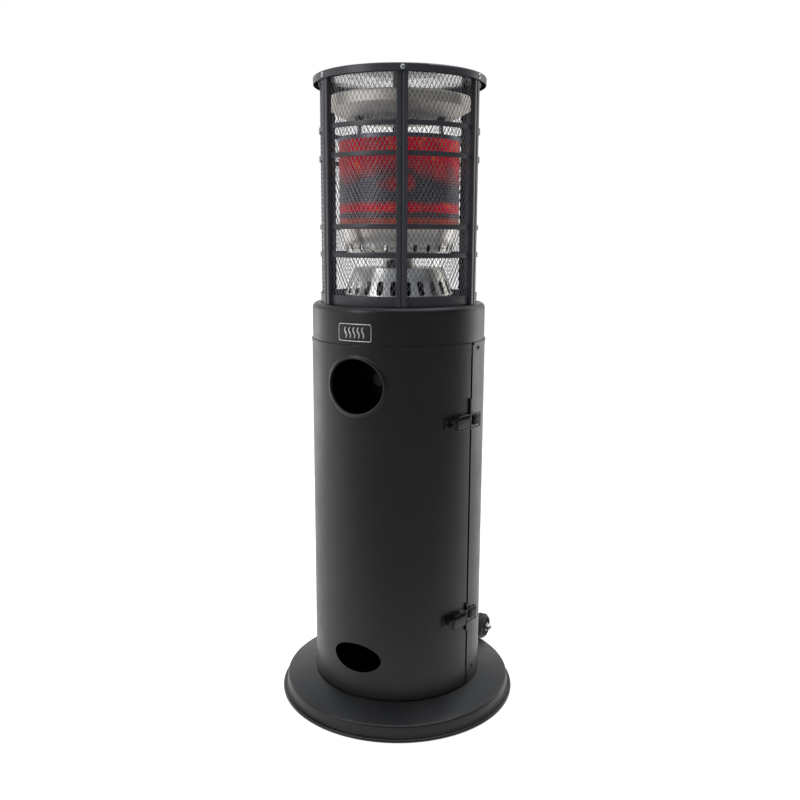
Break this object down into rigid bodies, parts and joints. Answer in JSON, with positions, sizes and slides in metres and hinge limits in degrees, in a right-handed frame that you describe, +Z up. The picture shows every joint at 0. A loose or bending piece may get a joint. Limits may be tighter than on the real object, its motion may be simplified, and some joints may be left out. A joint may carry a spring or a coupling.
{
  "type": "gas patio heater",
  "caption": "Free-standing gas area heater: round barrel with a latched bottle door, round base with tilt wheels, and a caged cylindrical burner with reflector under a flat lid.",
  "frame": {"origin": "on the floor plane, on the barrel's axis, at the centre of the base plate's underside", "axes": "+Z up along the barrel's axis, -Y towards the front with the control hole, +X towards the latches"},
  "size_m": [0.5414, 0.5827, 1.37],
  "materials": {
    "black_coat": "satin black powder coat",
    "guard_coat": "dark grey satin powder coat",
    "stainless": "bright stainless steel, slightly heat tinted",
    "hot_screen": "perforated steel that glows red",
    "zinc_plate": "bright zinc plate",
    "brass": "turned brass",
    "copper": "drawn copper",
    "badge_plate": "plain satin plate",
    "black_plastic": "moulded black plastic",
    "button_plastic": "bright button",
    "ceramic": "dark glazed ceramic",
    "lead_sheath": "silicone sheath",
    "tyre_rubber": "moulded black tread"
  },
  "bodies": {
    "root": {"base_plate": "black_coat", "foot_ring": "black_coat", "rear_shell": "black_coat", "collar": "black_coat", "badge": "badge_plate", "burner_housing": "stainless", "air_shield": "black_coat", "mixing_tube": "stainless", "burner_bowl": "stainless", "emitter_screen": "hot_screen", "emitter_cap": "stainless", "reflector_posts": "zinc_plate", "post_spacers": "ceramic", "top_reflector": "stainless", "lid": "guard_coat", "upright_1": "guard_coat", "upright_2": "guard_coat", "upright_3": "guard_coat", "upright_4": "guard_coat", "upright_5": "guard_coat", "upright_6": "guard_coat", "hoop_1": "guard_coat", "hoop_2": "guard_coat", "hoop_3": "guard_coat", "hoop_4": "guard_coat", "bottom_band": "guard_coat", "top_band": "guard_coat", "guard_mesh": "guard_coat", "control_bracket": "black_coat", "gas_valve": "zinc_plate", "gas_inlet": "brass", "igniter_housing": "black_plastic", "gas_tube": "zinc_plate", "injector": "brass", "pilot_burner": "black_coat", "pilot_tube": "copper", "thermocouple": "copper", "spark_electrode": "ceramic", "ignition_lead": "lead_sheath", "tilt_switch": "black_plastic", "fixed_hinge_leaves": "black_coat", "hinge_pins": "zinc_plate", "latch_catches": "black_coat", "button_screws": "zinc_plate", "wheel_bracket": "black_coat", "wheel_axle": "zinc_plate", "axle_nuts": "zinc_plate"},
    "door": {"door_shell": "black_coat", "control_trim": "black_coat", "door_hinge_leaves": "black_coat", "latch_bases": "black_coat"},
    "upper_lever": {"lever_upper": "black_coat"},
    "upper_bail": {"bail_upper": "black_coat"},
    "lower_lever": {"lever_lower": "black_coat"},
    "lower_bail": {"bail_lower": "black_coat"},
    "spindle_carrier": {"spindle_sleeve": "zinc_plate"},
    "knob": {"control_knob": "black_plastic"},
    "igniter": {"igniter_button": "button_plastic"},
    "left_wheel": {"wheel_left": "tyre_rubber"},
    "right_wheel": {"wheel_right": "tyre_rubber"}
  },
  "joints": [
    {"name": "door_swing", "type": "hinge", "parent": "root", "child": "door", "pos_m": [-0.19522, -0.02639, 0.435], "axis": [0, 0, -1], "range_deg": [0, 110]},
    {"name": "upper_lever_swing", "type": "hinge", "parent": "door", "child": "upper_lever", "pos_m": [0.19596, -0.05104, 0.661], "axis": [0, 0, 1], "range_deg": [0, 120]},
    {"name": "upper_bail_swing", "type": "hinge", "parent": "upper_lever", "child": "upper_bail", "pos_m": [0.18695, -0.0797, 0.661], "axis": [0, 0, 1], "range_deg": [-120, 0]},
    {"name": "lower_lever_swing", "type": "hinge", "parent": "door", "child": "lower_lever", "pos_m": [0.19596, -0.05104, 0.219], "axis": [0, 0, 1], "range_deg": [0, 120]},
    {"name": "lower_bail_swing", "type": "hinge", "parent": "lower_lever", "child": "lower_bail", "pos_m": [0.18695, -0.0797, 0.219], "axis": [0, 0, 1], "range_deg": [-120, 0]},
    {"name": "knob_press", "type": "slide", "parent": "root", "child": "spindle_carrier", "axis": [0, 1, 0], "range_m": [0, 0.004], "stiffness_N_per_m": 800},
    {"name": "knob_turn", "type": "hinge", "parent": "spindle_carrier", "child": "knob", "pos_m": [0, -0.077, 0.742], "axis": [0, -1, 0], "range_deg": [0, 180]},
    {"name": "igniter_press", "type": "slide", "parent": "root", "child": "igniter", "axis": [0, 1, 0], "range_m": [0, 0.005], "stiffness_N_per_m": 600},
    {"name": "left_wheel_spin", "type": "hinge", "parent": "root", "child": "left_wheel", "pos_m": [-0.099, 0.28, 0.0427], "axis": [1, 0, 0], "continuous": true},
    {"name": "right_wheel_spin", "type": "hinge", "parent": "root", "child": "right_wheel", "pos_m": [0.099, 0.28, 0.0427], "axis": [1, 0, 0], "continuous": true}
  ],
  "couplings": [
    {"joint": "upper_bail_swing", "follows": "upper_lever_swing", "ratio": -1},
    {"joint": "lower_bail_swing", "follows": "lower_lever_swing", "ratio": -1}
  ]
}
